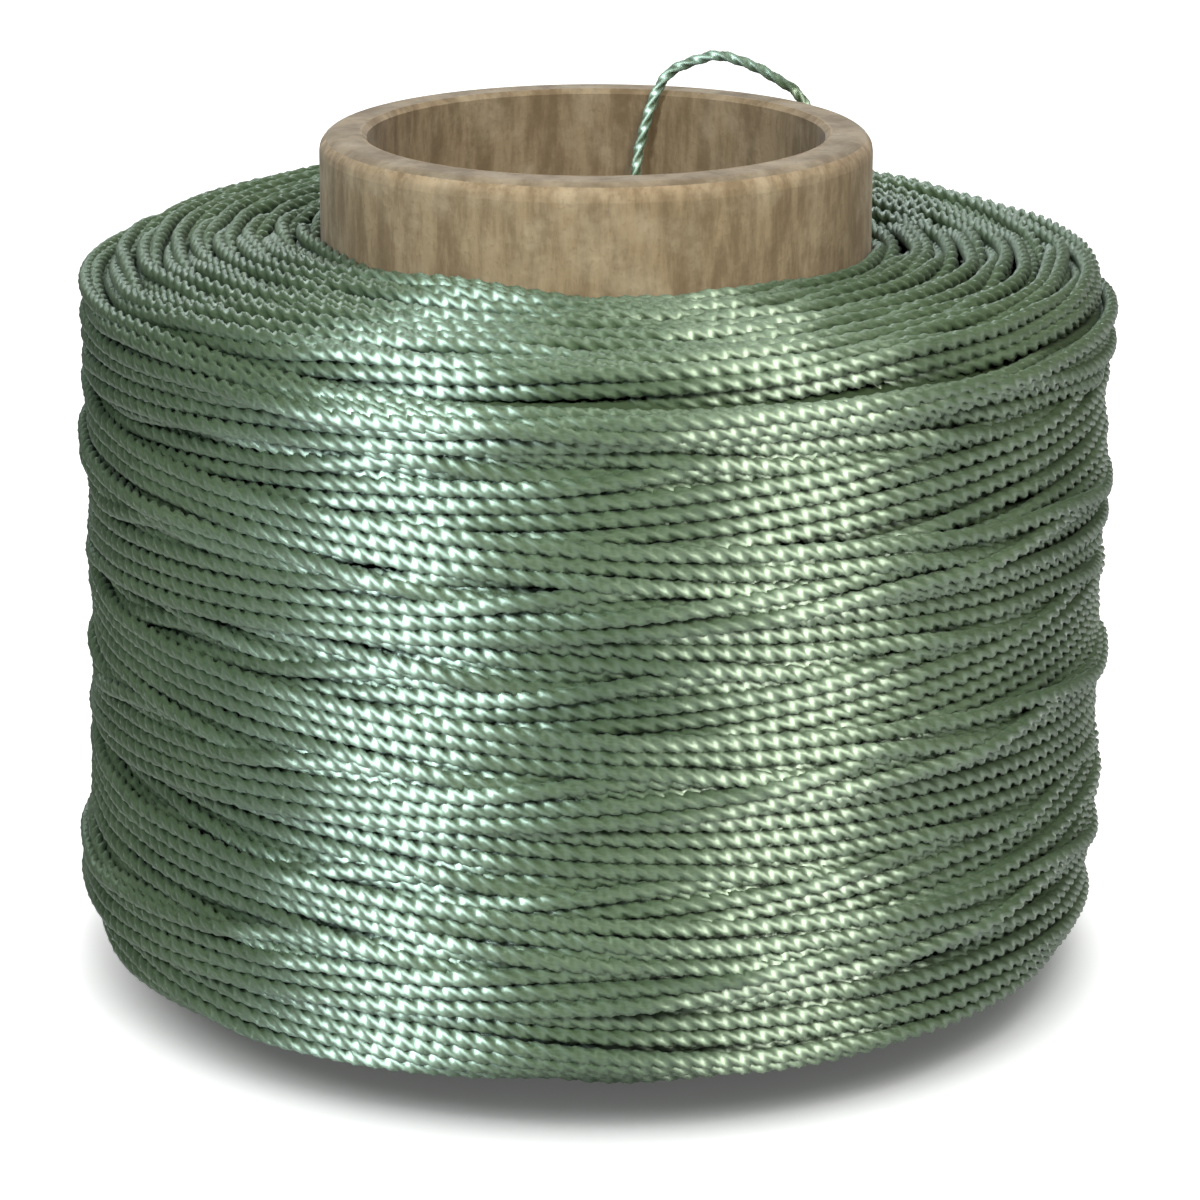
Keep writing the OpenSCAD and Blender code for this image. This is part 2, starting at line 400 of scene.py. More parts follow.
# What is taken out of the finished package's unevenness
LEVELLING = 0.45  # share of its broad hills and hollows
FINE_LEVELLING = 0.5  # share of how far a turn near the surface lies under or over the rest
BROAD_BLUR, FINE_BLUR = (49, 71), (31, 25)  # steps round and cells up that each takes in
FINE_MOVES = (-0.4, 0.6)  # least and most depth under the surface that is reckoned with
FINE_DEPTHS = (1.1, 0.6)  # depths at which a turn isn't moved at all and is moved in full
FINE_HEIGHTS = (8, 56)
FINE_WINDOW = 25  # steps over which such a move is evened
OUTER = (30, 40)  # radii between which a change of the outer form sets in

# How the package is out of true: its foot lies nearer to -X, and its shoulder is higher there
FOOT_LEAN = 0.85
FOOT_SPREAD = 0.35  # share of the lean by which the foot is wider all round
FOOT_HEIGHTS = (22, 8)
RIDGE_LEFT = 0.1  # radius past the mean that the upper edge keeps
RIDGE_HEIGHTS = (48, 60)
FORM_WINDOW, RIDGE_WINDOW = 11, 25  # rows over which the mean form and the ridge are evened
CORNER_DROP = 0.45
CORNER = (37, 42)  # radii between which the corner drops
SHOULDER_HEIGHTS = (52, 60)
SHOULDER_RADII = (27, 34)  # next to the core and near the edge
LIFT_WINDOW = 41  # steps over which the lifts are evened
# Lift of the shoulder: angle round the core in degrees, next to the core, near the edge
SHOULDER_LIFTS = (
    (0, -0.1, -0.1), (50, 0.1, 0.3), (100, 0.1, 0.1), (130, 0.6, 1.1), (160, 0.8, 0.6),
    (195, 0.9, 0.4), (218, 1.5, 0.6), (242, 1.5, 0.5), (262, 0.8, 0.3), (300, 0.4, 0.1),
    (360, -0.1, -0.1),
)

# Sinking of a turn that another one nearly covers
BURIED_TURNS = 240  # turns near the surface that are looked at
BURIED_APART = 120  # turns later by which the other one may lie on it
BURIED_AWAY = 0.75  # distance between their middles under which it sinks
BURIED_MOST = 0.45
BURIED_SHARE = 1.3  # how far it sinks for each mm by which it is too near
BURIED_FROM, BURIED_TO = (8, 11), (57, 54)  # heights at which the sinking sets in
BURIED_WINDOW = 41  # steps over which it is evened

# Choice of the lengths that show
ELEVATIONS = (-90, -50, 0, 17, 35, 62, 90)  # in degrees, from which the package is looked at
VIEW_ROWS = 1300  # cells of the view from one elevation
VIEW_OFFSET = 50  # that keeps the places in a view above zero
VIEW_SHARE = 0.97  # of the line's radius, that counts as seen
NOTHING = -1e3
SEEN_CELLS = 2  # fewest cells of a step that count as seen
SEEN_DEPTH = 1e-3  # depth by which a step may lie behind the front
SEEN_SPREAD = 17  # steps round a seen one that are kept with it
SHORTEST_RUN = 5  # rings
PIECE_RINGS = 8100  # rings in one piece, which keeps it under 200,000 triangles
EXIT_RUN = 70  # degrees over which the line is led to the start of the free end


def arc_mm(arc):
    """An edge's arc in mm."""
    return (v / MM for v in arc)


def upper_limit(r):
    """Height that the line's middle may reach at a radius."""
    arc_r, arc_z, arc = arc_mm(UPPER_ARC)
    rise = SHOULDER_RISE / MM * (arc_r - r) / (arc_r - CORE_R / MM)
    over = np.clip(r - arc_r, 0, arc - EDGE_MARGIN)
    return np.where(r < arc_r, SHOULDER_Z / MM + rise - EDGE_MARGIN,
                    arc_z + np.sqrt((arc - EDGE_MARGIN) ** 2 - over ** 2))


def lower_limit(r):
    """Height under which the line's middle may not go at a radius."""
    arc_r, arc_z, arc = arc_mm(LOWER_ARC)
    over = np.clip(r - arc_r, 0, arc - EDGE_MARGIN)
    return np.where(r < arc_r, FOOT_Z / MM + EDGE_MARGIN,
                    arc_z - np.sqrt((arc - EDGE_MARGIN) ** 2 - over ** 2))


def share_between(value, low, high):
    """How far a value is from low to high, from 0 to 1. High may be the smaller one."""
    return np.clip((value - low) / (high - low), 0, 1)


def eased(share):
    """A share from 0 to 1 that starts and stops gently."""
    return share ** 2 * (3 - 2 * share)


def slow_noise(rng, count, scale, size):
    """Random values, smooth over a scale in steps."""
    value = rng.normal(size=int(count / scale) + 4)
    x = np.arange(count) / scale
    i = x.astype(int)
    f = eased(x - i)
    return (value[i] * (1 - f) + value[i + 1] * f) * size


def there_and_back(phase):
    """Guide's place from 0, the foot, to 1, the top, with its turns rounded."""
    def sharp(p):
        p = p % 1.0
        return np.where(p < 0.5, 2 * p, 2 - 2 * p)
    rounded = (sharp(phase - GUIDE_TURN) + 2 * sharp(phase) + sharp(phase + GUIDE_TURN)) / 4
    return (rounded - GUIDE_TURN) / (1 - 2 * GUIDE_TURN)


def window(length):
    """Weights of a smooth mean over an odd number of values."""
    w = np.hanning(length + 2)[1:-1]
    return w / w.sum()


def smoothed(values, kernel):
    """A row of values, each replaced by the kernel's mean round it."""
    half = len(kernel) // 2
    return np.convolve(np.pad(values, half, "edge"), kernel, "valid")


def row_of(height):
    """Row of the surface at a height."""
    return np.clip((height / CELL).astype(int), 0, ROWS - 1)


def footprint(z, line_r, share=1.0):
    """Cells next to the line's middle at height z, which of them lie under that share of its
    radius, and how far its face stands off its middle in each."""
    cells = np.round(z / CELL - 0.5).astype(int)[..., None] + COVERED
    away = (cells + 0.5) * CELL - z[..., None]
    return cells, np.abs(away) < share * line_r, np.sqrt(np.maximum(line_r ** 2 - away ** 2, 0))


def slid(z, column, surface, line_r):
    """Heights of the steps after each has slid to where it lies deepest."""
    cells, inside, lift = footprint(z[None, :] + SLIDES[:, None], line_r)
    cost = np.where(inside, surface[column[None, :, None], cells] + lift, 0).max(2)
    cost += SLIDE_COST * SLIDES[:, None] ** 2
    cost = np.array([smoothed(c, window(SLIDE_WINDOW)) for c in cost])
    weight = np.exp(-(cost - cost.min(0)) / SLIDE_SOFTNESS)
    return z + smoothed((weight * SLIDES[:, None]).sum(0) / weight.sum(0), window(PATH_WINDOW))


def rested(z, column, surface, line_r, mean):
    """Radii of the steps when each rests on what lies under it and the line stays taut."""
    cells, inside, lift = footprint(z, line_r)
    r = np.where(inside, surface[column[:, None], cells] + lift, 0).max(1)
    for span in SPANS:
        sag = mean * (span * 2 * math.pi / STEPS) ** 2 / 2
        wide = np.pad(r, span, "edge")
        r = np.maximum(r, (wide[2 * span:] + wide[:-2 * span]) / 2 - sag)
    return 0.5 * r + 0.5 * smoothed(r, CROSSING) - PRESS


def wind(sizes):
    """Winds the line turn by turn on the core, until the package is full and the line lies at
    its upper edge. Gives the radius and height of each step, and the package's surface."""
    rng = np.random.default_rng(sizes.seed)
    line_r = sizes.line_d / MM / 2
    total = MOST_TURNS * STEPS + 2 * BLOCK
    uneven = sum(slow_noise(rng, total, *scale_size) for scale_size in UNEVEN_HEIGHT)
    uneven_edges = slow_noise(rng, total, *UNEVEN_EDGES)
    uneven_pace = slow_noise(rng, total, *UNEVEN_PACE)
    surface = np.full((STEPS, ROWS), CORE_R / MM)
    radius, height = np.zeros(total), np.zeros(total)
    mean = CORE_R / MM + line_r
    start, stop, top_from = 0, total - BLOCK - OVERLAP, None
    while start < stop:
        first = max(0, start - OVERLAP)
        step = np.arange(first, start + BLOCK + OVERLAP)
        column = step % STEPS
        high, low = upper_limit(mean), lower_limit(mean)
        guide = there_and_back(step / STEPS / sizes.winding_ratio + uneven_pace[step])
        if top_from is not None:
            guide = np.where(step > top_from, 1.0, guide)
        near_edge = (np.clip((guide - NEAR_TOP) / NEAR_FOOT, 0, 1)
                     + np.clip((NEAR_FOOT - guide) / NEAR_FOOT, 0, 1))
        z = low + (high - low) * guide + uneven[step] + uneven_edges[step] * near_edge
        z = np.clip(slid(np.clip(z, low, high), column, surface, line_r), low, high)
        fade = np.exp(-np.maximum(step - start, 0) / JOIN_FADE)
        if start:
            z = z + (height[start - 1] - z[start - 1 - first]) * fade
        z = np.where(step < start, height[step], z)
        r = rested(z, column, surface, line_r, mean)
        if start > FLAT_FROM:
            r = mean + (r - mean) * FLATTENING
        if start:
            r = r + (radius[start - 1] - r[start - 1 - first]) * fade
        new = slice(start - first, start - first + BLOCK)
        radius[start:start + BLOCK] = r[new]
        height[start:start + BLOCK] = z[new]
        down = np.arange(first, start + BLOCK - OVERLAP)
        cells, inside, lift = footprint(height[down], line_r)
        place = (down % STEPS)[:, None], cells
        surface[place] = np.maximum(surface[place],
                                    np.where(inside, radius[down][:, None] + lift, 0))
        start += BLOCK
        mean += (radius[start - BLOCK:start].mean() - mean) * MEAN_FADE
        if top_from is None and start % FULL_TEST == 0:
            if surface[:, FULL_ROWS].mean() > sizes.mean_r / MM:
                cycle = sizes.winding_ratio * STEPS
                top_from = int((math.floor(start / cycle - 0.5) + 1.5) * cycle)
                stop = top_from + int(EDGE_RUN / 360 * STEPS)
    return radius[:stop], height[:stop], surface


def blurred(surface, ring, rise):
    """The package's surface, smoothed over so many steps round it and so many cells up it."""
    half = ring // 2
    ring, rise = window(ring), window(rise)
    surface = np.apply_along_axis(
        lambda c: np.convolve(np.r_[c[-half:], c, c[:half]], ring, "valid"), 0, surface)
    return np.apply_along_axis(lambda c: smoothed(c, rise), 1, surface)


def level(radius, height, surface, line_r):
    """Takes out part of the broad hills and hollows that the winding leaves, and part of the
    steps between neighbouring turns. Gives the radii, and the hills and hollows."""
    broad = blurred(surface, *BROAD_BLUR)
    broad -= broad.mean(0)
    place = np.arange(len(radius)) % STEPS, row_of(height)
    under = blurred(surface, *FINE_BLUR)[place] - radius - line_r
    raised = FINE_LEVELLING * np.clip(under, *FINE_MOVES) * share_between(under, *FINE_DEPTHS)
    low, high = FINE_HEIGHTS
    raised = smoothed(raised * (height > low) * (height < high), window(FINE_WINDOW))
    moved = raised - LEVELLING * broad[place]
    return radius + share_between(radius, *OUTER) * moved, broad


def upper_ridge(surface, mean_r):
    """How far the surface stands out past the package's outline near its upper edge, by row."""
    mean = smoothed(surface.mean(0), window(FORM_WINDOW))
    arc_r, arc_z, arc = arc_mm(UPPER_ARC)
    row = (np.arange(ROWS) + 0.5) * CELL
    over = np.clip(row - arc_z, 0, arc)
    ridge = mean - np.minimum(mean_r + RIDGE_LEFT, arc_r + np.sqrt(arc ** 2 - over ** 2))
    low, high = RIDGE_HEIGHTS
    return smoothed(np.clip(ridge, 0, 1) * (row > low) * (row < high), window(RIDGE_WINDOW))


def shoulder_lift(radius, height, angle):
    """How far each step on the shoulder is lifted, and dropped at its corner."""
    turn, *lifts = np.array(SHOULDER_LIFTS).T
    degrees = np.arange(STEPS) * 360 / STEPS
    place = np.round(angle / (2 * math.pi) * STEPS).astype(int) % STEPS
    three_rounds = (np.tile(np.interp(degrees, turn, lift), 3) for lift in lifts)
    inner, edge = (np.convolve(rounds, window(LIFT_WINDOW), "same")[STEPS:2 * STEPS][place]
                   for rounds in three_rounds)
    out = share_between(radius, *SHOULDER_RADII)
    corner = share_between(radius, *CORNER)
    lift = (inner * (1 - out) + edge * out) * (1 - corner)
    return share_between(height, *SHOULDER_HEIGHTS) * (lift - CORNER_DROP * corner)


def settle(radius, height, angle, surface, mean_r):
    """Takes the ridge off the package's upper edge and leaves it a little out of true."""
    foot = (FOOT_LEAN * (FOOT_SPREAD - np.cos(angle))
            * eased(share_between(height, *FOOT_HEIGHTS)))
    ridge = upper_ridge(surface, mean_r)[row_of(height)]
    return (radius + share_between(radius, *OUTER) * (foot - ridge),
            height + shoulder_lift(radius, height, angle))


def bury_overlaps(radius, height):
    """Sinks a turn where a later one lies nearly in its place, so that it doesn't show through."""
    shape = (BURIED_TURNS, STEPS)
    r, z = (values[-BURIED_TURNS * STEPS:].reshape(shape) for values in (radius, height))
    sink = np.zeros(shape)
    for lag in range(1, BURIED_APART):
        away = np.hypot(r[lag:] - r[:-lag], z[lag:] - z[:-lag])
        sink[:-lag] = np.maximum(sink[:-lag], np.clip(BURIED_AWAY - away, 0, BURIED_MOST))
    sink *= share_between(z, *BURIED_FROM) * share_between(z, *BURIED_TO)
    radius = radius.copy()
    sink = smoothed(sink.ravel(), window(BURIED_WINDOW))
    radius[-BURIED_TURNS * STEPS:] -= BURIED_SHARE * sink
    return radius


def ease_to_exit(radius, height):
    """Leads the last stretch of the line up to the point where the free end starts."""
    steps = int(EXIT_RUN / 360 * STEPS)
    t = eased(np.linspace(0, 1, steps))
    exit_r = math.hypot(LINE_EXIT[0], LINE_EXIT[1]) / MM
    for values, goal in ((radius, exit_r), (height, LINE_EXIT[2] / MM)):
        values[-steps:] = values[-steps:] * (1 - t) + goal * t


def shown_steps(radius, height, line_r):
    """Marks the steps of the line that can be seen from outside, above or below, and all of
    the last turn."""
    column = np.arange(len(radius)) % STEPS
    seen = np.zeros(len(radius), bool)
    for elevation in ELEVATIONS:
        e = math.radians(elevation)
        out = radius * math.cos(e) + height * math.sin(e)
        across = height * math.cos(e) - radius * math.sin(e) + VIEW_OFFSET
        cells, inside, lift = footprint(across, line_r, VIEW_SHARE)
        reach = np.where(inside, out[:, None] + lift, NOTHING)
        front = np.full((STEPS, VIEW_ROWS), NOTHING)
        place = np.broadcast_to(column[:, None], cells.shape), cells
        np.maximum.at(front, place, reach)
        seen |= (inside & (reach >= front[place] - SEEN_DEPTH)).sum(1) >= SEEN_CELLS
    seen = np.convolve(seen, np.ones(SEEN_SPREAD), "same") > 0
    seen[-STEPS:] = True
    return seen


def wound_runs(sizes):
    """Lengths of the wound line that show, as runs for twisted_line, oldest first, and the
    package's broad relief with its columns counted round from the free end's start."""
    line_r = sizes.line_d / MM / 2
    radius, height, surface = wind(sizes)
    radius, relief = level(radius, height, surface, line_r)
    count = len(radius)
    angle = EXIT_ANGLE + (count - 1 - np.arange(count)) * 2 * math.pi / STEPS
    radius, height = settle(radius, height, angle, surface, sizes.mean_r / MM)
    radius = bury_overlaps(radius, height)
    ease_to_exit(radius, height)
    seen = shown_steps(radius, height, line_r)
    path = np.stack([radius * np.cos(angle), radius * np.sin(angle), height], 1) * MM
    run = distances(path)
    run -= run[-1]
    at = -np.arange(int(-run[0] / (sizes.lay / WOUND_RINGS)))[::-1] * sizes.lay / WOUND_RINGS
    path = np.stack([np.interp(at, run, path[:, k]) for k in range(3)], 1)
    shown = np.interp(at, run, seen.astype(float)) > 0.5
    outward = path * (1, 1, 0)
    edges = np.diff(np.concatenate([[0], shown.astype(int), [0]]))
    runs = []
    for a, b in zip(np.flatnonzero(edges == 1), np.flatnonzero(edges == -1)):
        if b - a >= SHORTEST_RUN:
            cuts = np.linspace(a, b - 1, math.ceil((b - a) / PIECE_RINGS) + 1).astype(int)
            for first, last in zip(cuts[:-1], cuts[1:] + 1):
                runs.append((path[first:last], outward[first:last], at[first:last],
                             np.tile(WOUND_GIRTH, (last - first, 1))))
    return runs, relief[(count - 1 - np.arange(STEPS)) % STEPS]


# ---------------------------------------------------------------- inner windings

# How far the inner windings lie under the package's outline, in thicknesses of the line
INNER_DEPTH, INNER_FOOT, INNER_TOP = 1.45, 1.1, 1.2
INNER_SIDES = 180
INNER_ROWS = 24
INNER_ROUND = LOWER_ARC[2]
ROUND_PARTS = 5
CORE_GAP = 0.00003  # between them and the core
FLAT_NORMAL = 0.9  # least height of the normal of a flat end


def select_flat_ends(body):
    """Selects the faces that close the body's ends, in edit mode."""
    bpy.ops.mesh.select_all(action="DESELECT")
    mesh = bmesh.from_edit_mesh(body.data)
    for face in mesh.faces:
        face.select_set(abs(face.normal.z) > FLAT_NORMAL and len(face.verts) == INNER_SIDES)
    bmesh.update_edit_mesh(body.data)


def inner_windings(relief, sizes):
    """The turns under the ones that show, as one body that follows their broad relief."""
    deselect_all()
    outer_r = sizes.mean_r - INNER_DEPTH * sizes.line_d
    low, high = FOOT_Z + INNER_FOOT * sizes.line_d, SHOULDER_Z - INNER_TOP * sizes.line_d
    bpy.ops.mesh.primitive_cylinder_add(
        vertices=INNER_SIDES, radius=outer_r, depth=high - low, end_fill_type="NGON",
        location=(0, 0, (high + low) / 2))
    body = bpy.context.object
    body.name = "inner_windings"
    bpy.ops.object.transform_apply(location=True, rotation=True, scale=True)
    bpy.ops.object.mode_set(mode="EDIT")
    bpy.ops.mesh.select_mode(type="FACE")
    select_flat_ends(body)
    bpy.ops.mesh.bevel(offset=INNER_ROUND, segments=ROUND_PARTS, affect="EDGES")
    for k in range(1, INNER_ROWS):
        z = low + INNER_ROUND + (high - low - 2 * INNER_ROUND) * k / INNER_ROWS
        bpy.ops.mesh.select_all(action="SELECT")
        bpy.ops.mesh.bisect(plane_co=(0, 0, z), plane_no=(0, 0, 1))
    select_flat_ends(body)
    bpy.ops.mesh.inset(thickness=outer_r - INNER_ROUND - CORE_R - CORE_GAP, depth=0)
    bpy.ops.mesh.bridge_edge_loops()
    bpy.ops.object.mode_set(mode="OBJECT")
    points = np.zeros(len(body.data.vertices) * 3)
    body.data.vertices.foreach_get("co", points)
    points = points.reshape(-1, 3)
    r = np.hypot(points[:, 0], points[:, 1])
    angle = np.arctan2(points[:, 1], points[:, 0]) - EXIT_ANGLE
    column = np.round(angle / (2 * math.pi) * STEPS).astype(int) % STEPS
    grown = relief[column, row_of(points[:, 2] / MM)] * MM * (1 - LEVELLING)
    points[:, :2] *= ((r + share_between(r / MM, *OUTER) * grown) / r)[:, None]
    body.data.vertices.foreach_set("co", points.ravel())
    body.data.update()
    bpy.ops.object.shade_smooth()
    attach(body, "root")
    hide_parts("wound_line_mass")


# ---------------------------------------------------------------- finishes

# A pattern's contrast is two noise values between which it sets in, and in some how much of it
# shows before and after. A bump is its strength and its height
FILAMENTS = 22.0  # filaments round the line, about
FILAMENT_SLANT = 0.8  # share of the lay's turning that the filaments don't follow
FILAMENT_BREAKS = 1.6  # changes along a filament in one lay
FILAMENT_CONTRAST = (0.32, 0.68)
FILAMENT_BUMP = (0.2, 0.00004)
FILAMENT_ROUGHNESS = (0.48, 0.42)  # of the main and of the paler filaments
GROOVE = (-1.0, 0.7, 1.0, 0.0)  # as a contrast, over the cosine that is 1 on a strand's crest
GROOVE_ROUGHNESS = -0.14  # added in the grooves
DARK_SCALE, DARK_CONTRAST = 45.0, (0.35, 0.75, 0.0, 0.45)
LINE_FINISH = {
    "Anisotropic": 0.90,
    "IOR": 1.6,
    "Specular Tint": (0.76, 1.0, 0.80, 1.0),
    "Specular IOR Level": 1.0,
    "Coat Weight": 0.12,
    "Coat Roughness": 0.35,
    "Sheen Weight": 0.05,
    "Sheen Roughness": 0.4,
}
BOARD_FINISH = {
    "Roughness": 0.85,
    "Specular IOR Level": 0.25,
    "Sheen Weight": 0.1,
}
# Scale of the board's fibres, which run up the core and lie any way on its cut rim
UPRIGHT_FIBRES = (620, 620, 130)
CUT_FIBRES = (260, 260, 260)
FIBRE_CONTRAST = (0.36, 0.66)
BLOTCH_SCALE, BLOTCH_CONTRAST = 240.0, (0.45, 0.75, 0.0, 0.5)
SPECK_SCALE, SPECK_CONTRAST = 1900.0, (0.60, 0.72, 0.0, 0.35)
SPECK_HEIGHT = 0.6  # share of a fibre's
BOARD_BUMP = (0.5, 0.00015)
BORE_TINT, RIM_TINT = (0.8, 0.8, 0.8), (0.72, 0.76, 0.82)


def fibre_group():
    """Filaments that run along a laid line: a mask, a height for bump, and the grooves
    between the strands."""
    group, given, out = new_group(
        "line_filaments", {"Lines": "Float"},
        {"Mask": "Float", "Height": "Float", "Groove": "Float"})
    uv = add_node(group, "ShaderNodeUVMap", uv_map="along_line")
    split = add_node(group, "ShaderNodeSeparateXYZ", {"Vector": uv.outputs[0]})
    round_line, along_line = split.outputs[:2]
    # The filaments run nearly straight along the line while the section turns with the lay
    straight = maths(group, "ADD", round_line,
                     maths(group, "MULTIPLY", along_line, FILAMENT_SLANT))
    x = maths(group, "MULTIPLY", straight, given.outputs["Lines"])
    y = maths(group, "MULTIPLY", along_line, FILAMENT_BREAKS)
    place = add_node(group, "ShaderNodeCombineXYZ", {"X": x, "Y": y})
    filaments = noise(group, place.outputs[0], detail=3.0, roughness=0.6)
    crest = maths(group, "COSINE",
                  maths(group, "MULTIPLY", round_line, STRANDS * 2 * math.pi))
    group.links.new(ramp(group, filaments, *FILAMENT_CONTRAST), out.inputs["Mask"])
    group.links.new(filaments, out.inputs["Height"])
    group.links.new(ramp(group, crest, *GROOVE), out.inputs["Groove"])
    return group


def line_material(colours, filaments):
    """Satin nylon, whose highlights lie across the line and are sharper in its grooves."""
    material, tree, shader = new_material("laid_nylon_line", LINE_FINISH)
    fibre = add_node(tree, "ShaderNodeGroup", node_tree=filaments)
    fibre.inputs["Lines"].default_value = FILAMENTS
    place = add_node(tree, "ShaderNodeTexCoord")
    colour = mix_colours(tree, fibre.outputs["Mask"], tuple(colours.line),
                         tuple(colours.line_pale))
    dark = ramp(tree, noise(tree, place.outputs["Object"], DARK_SCALE), *DARK_CONTRAST)
    colour = mix_colours(tree, dark, colour, tuple(colours.line_dark))
    tree.links.new(colour, shader.inputs["Base Color"])
    rough = ramp(tree, fibre.outputs["Mask"], 0.0, 1.0, *FILAMENT_ROUGHNESS)
    groove = maths(tree, "MULTIPLY", fibre.outputs["Groove"], GROOVE_ROUGHNESS)
    rough = maths(tree, "ADD", rough, groove)
    tree.links.new(rough, shader.inputs["Roughness"])
    add_bump(tree, shader, fibre.outputs["Height"], *FILAMENT_BUMP)
    tangent = add_node(tree, "ShaderNodeTangent", direction_type="UV_MAP", uv_map="along_line")
    tree.links.new(tangent.outputs[0], shader.inputs["Tangent"])
    return material


def board_group():
    """Paper board: fibres stretched one way, specks and a height for bump."""
    group, given, out = new_group(
        "board_fibres",
        {"Stretch": "Vector", "Colour": "Color", "Dark": "Color", "Pale": "Color"},
        {"Colour": "Color", "Height": "Float"})
    place = add_node(group, "ShaderNodeTexCoord").outputs["Object"]
    stretched = add_node(group, "ShaderNodeVectorMath",
                         {0: place, 1: given.outputs["Stretch"]}, operation="MULTIPLY")
    streak = noise(group, stretched.outputs[0], detail=5.0, roughness=0.65)
    blotch = noise(group, place, BLOTCH_SCALE, detail=4.0, roughness=0.6)
    speck = noise(group, place, SPECK_SCALE)
    colour = mix_colours(group, ramp(group, streak, *FIBRE_CONTRAST), given.outputs["Dark"],
                         given.outputs["Colour"])
    colour = mix_colours(group, ramp(group, blotch, *BLOTCH_CONTRAST), colour,
                         given.outputs["Pale"])
    colour = mix_colours(group, ramp(group, speck, *SPECK_CONTRAST), colour,
                         given.outputs["Dark"])
    group.links.new(colour, out.inputs["Colour"])
    height = maths(group, "ADD", streak, maths(group, "MULTIPLY", speck, SPECK_HEIGHT))
    group.links.new(height, out.inputs["Height"])
    return group


def board_material(name, group, colours, stretch, tint=(1, 1, 1)):
    """Board whose fibres have the given scale each way, tinted as a whole."""
    material, tree, shader = new_material(name, BOARD_FINISH)
    board = add_node(tree, "ShaderNodeGroup", node_tree=group)
    board.inputs["Stretch"].default_value = stretch
    for socket, colour in (("Colour", colours.board), ("Dark", colours.board_dark),
                           ("Pale", colours.board_pale)):
        board.inputs[socket].default_value = [c * t for c, t in zip(colour, (*tint, 1.0))]
    tree.links.new(board.outputs["Colour"], shader.inputs["Base Color"])
    add_bump(tree, shader, board.outputs["Height"], *BOARD_BUMP)
    return material


# ---------------------------------------------------------------- camera and stage

CAMERA_PLACE = (0, -0.350, 0.1369)
CAMERA_TILT = 0.296  # radians below level
CAMERA_LENS, CAMERA_SENSOR = 127.84, 36  # mm
CAMERA_SHIFT = 0.0033  # share of the frame's width
CAMERA_CLIP = (0.01, 10)

FLOOR_R = 3.0
FLOOR_SIDES = 96
FLOOR_FINISH = {
    "Base Color": (0.80, 0.81, 0.80, 1),
    "Roughness": 1.0,
    "Specular IOR Level": 0.0,
    "Emission Color": WHITE,
}
# The floor's glow grows from its share under the package to 1, between two distances; this is a
# painted shadow, laid over the real one from the lamp above
PAINTED_SHADOW_MIDDLE = (0.0002, -0.0022, 0)
PAINTED_SHADOW_EDGES = (0.0364, 0.0490)
GLOW_IN_PAINTED_SHADOW = 0.09
WORLD_LIGHT = 0.21

LINE_PIECES = ("wound_line_", "line_free_end", "inner_windings")
SPOOL_GROUP, LINE_GROUP = "lit_by_side_lamps", "mirrors_the_strips"
LAMPS_AIM = Vector((0, 0, 0.035))
# Name, azimuth from the front, elevation, distance, size, power, colour, the group that it
# lights if not everything, and whether its diffuse and its glossy light count
LAMPS = (
    ("lamp_left", -25, 35, 0.60, (0.08, 0.08), 2.08, (0.90, 1.0, 1.05), SPOOL_GROUP, (1, 0)),
    ("lamp_right", 22, 35, 0.60, (0.15, 0.15), 1.65, (1.0, 0.98, 0.86), SPOOL_GROUP, (1, 0)),
    ("lamp_back", 180, 38, 0.60, (0.50, 0.25), 1.5, (0.95, 1.0, 1.08), SPOOL_GROUP, (1, 1)),
    ("strip_left", -41, 12, 0.62, (0.30, 0.45), 12.9, (0.92, 1.0, 1.11), LINE_GROUP, (0, 1)),
    ("strip_right", 42.5, 12, 0.62, (0.32, 0.45), 8.3, (1.08, 1.0, 0.93), LINE_GROUP, (0, 1)),
    ("lamp_above", 75, 80, 0.75, (0.60, 0.60), 3.0, (1.0, 1.0, 1.0), None, (1, 1)),
)


def add_floor():
    """The pale floor, which glows where the camera, a mirror or glass sees it. Its glow fades
    under the package as a painted shadow, over the real shadow that the lamp above casts."""
    deselect_all()
    bpy.ops.mesh.primitive_circle_add(vertices=FLOOR_SIDES, radius=FLOOR_R, fill_type="NGON",
                                      location=(0, 0, 0))
    floor = bpy.context.object
    floor.name = "floor"
    material, tree, shader = new_material("floor_white", FLOOR_FINISH)
    rays = tree.nodes.new("ShaderNodeLightPath")
    place = tree.nodes.new("ShaderNodeTexCoord")
    away = add_node(tree, "ShaderNodeVectorMath", {0: place.outputs["Object"], 1: PAINTED_SHADOW_MIDDLE},
                    operation="DISTANCE")
    # Painted shadow: less glow within these distances of a point under the package
    glow_with_painted_shadow = ramp(tree, away.outputs["Value"], *PAINTED_SHADOW_EDGES, GLOW_IN_PAINTED_SHADOW, 1.0)
    seen = maths(tree, "MAXIMUM", rays.outputs["Is Camera Ray"], rays.outputs["Is Glossy Ray"])
    seen = maths(tree, "MAXIMUM", seen, rays.outputs["Is Transmission Ray"])
    tree.links.new(maths(tree, "MULTIPLY", seen, glow_with_painted_shadow), shader.inputs["Emission Strength"])
    give_material(floor, material)
    return floor


def lit_groups(floor):
    """Collections of what single lamps light: the whole spool, and the line alone."""
    groups = {name: bpy.data.collections.new(name) for name in (SPOOL_GROUP, LINE_GROUP)}
    for obj in bpy.data.objects:
        if obj.type == "MESH" and obj != floor:
            groups[SPOOL_GROUP].objects.link(obj)
            if obj.name.startswith(LINE_PIECES):
                groups[LINE_GROUP].objects.link(obj)
    return groups


